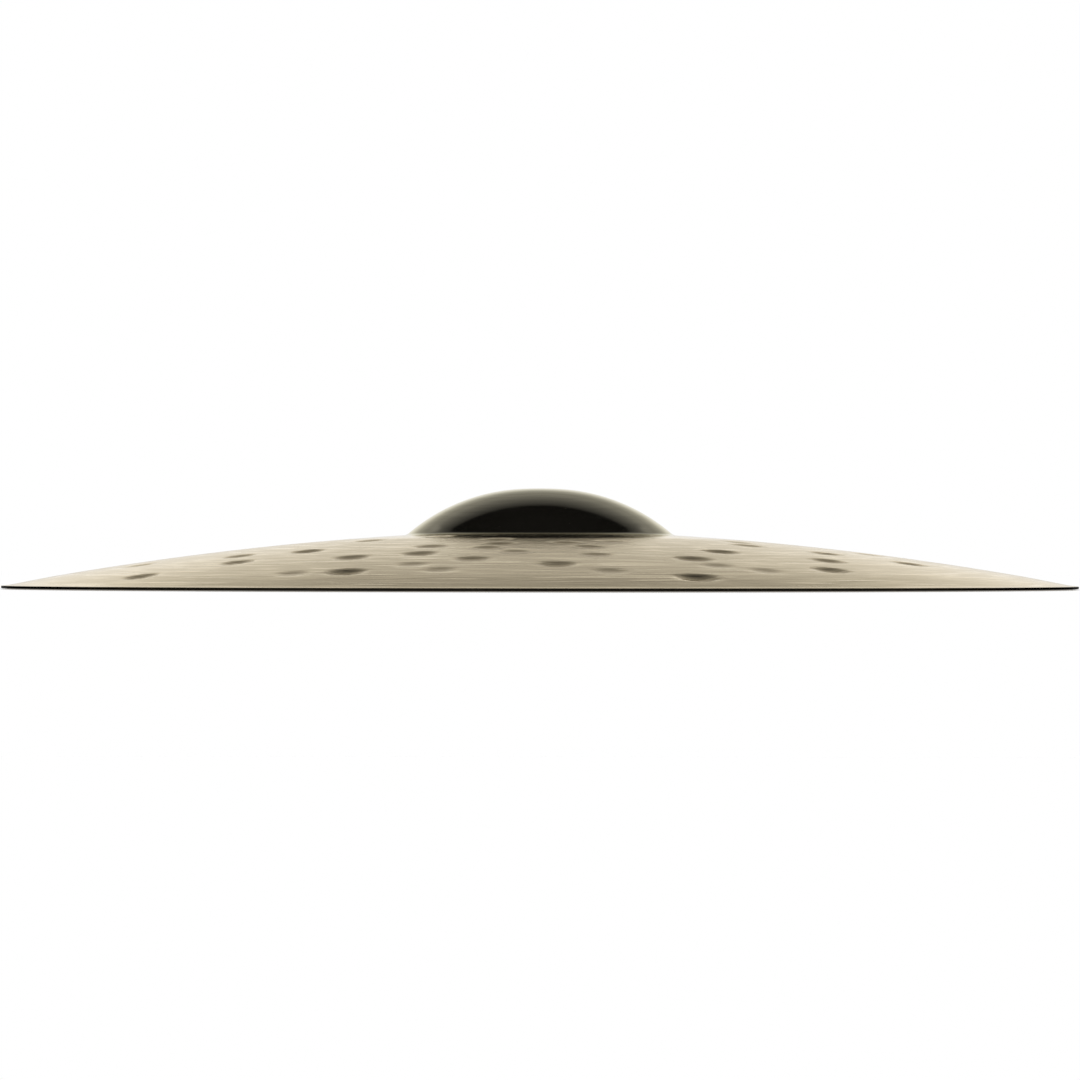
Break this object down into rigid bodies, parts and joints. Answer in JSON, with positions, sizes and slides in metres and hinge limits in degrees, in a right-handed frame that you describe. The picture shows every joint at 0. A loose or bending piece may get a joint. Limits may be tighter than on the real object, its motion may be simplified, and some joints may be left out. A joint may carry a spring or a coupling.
{
  "type": "ride cymbal",
  "caption": "Large thin ride cymbal of cast bronze: a gently arched bow round a raised bell, with a hole for the stand and felt seats on both faces.",
  "frame": {"origin": "on the cymbal's axis, in the plane that its rim rests on", "axes": "+Z along the axis of turning, out of the top of the bell; +X and +Y lie in the rim plane, in any direction because the plate is round"},
  "size_m": [0.508, 0.508, 0.0477],
  "materials": {
    "bronze": "pale bell bronze, satin, finely lathed on the bow and smooth on the bell"
  },
  "bodies": {
    "root": {"cymbal_plate": "bronze"}
  },
  "joints": []
}
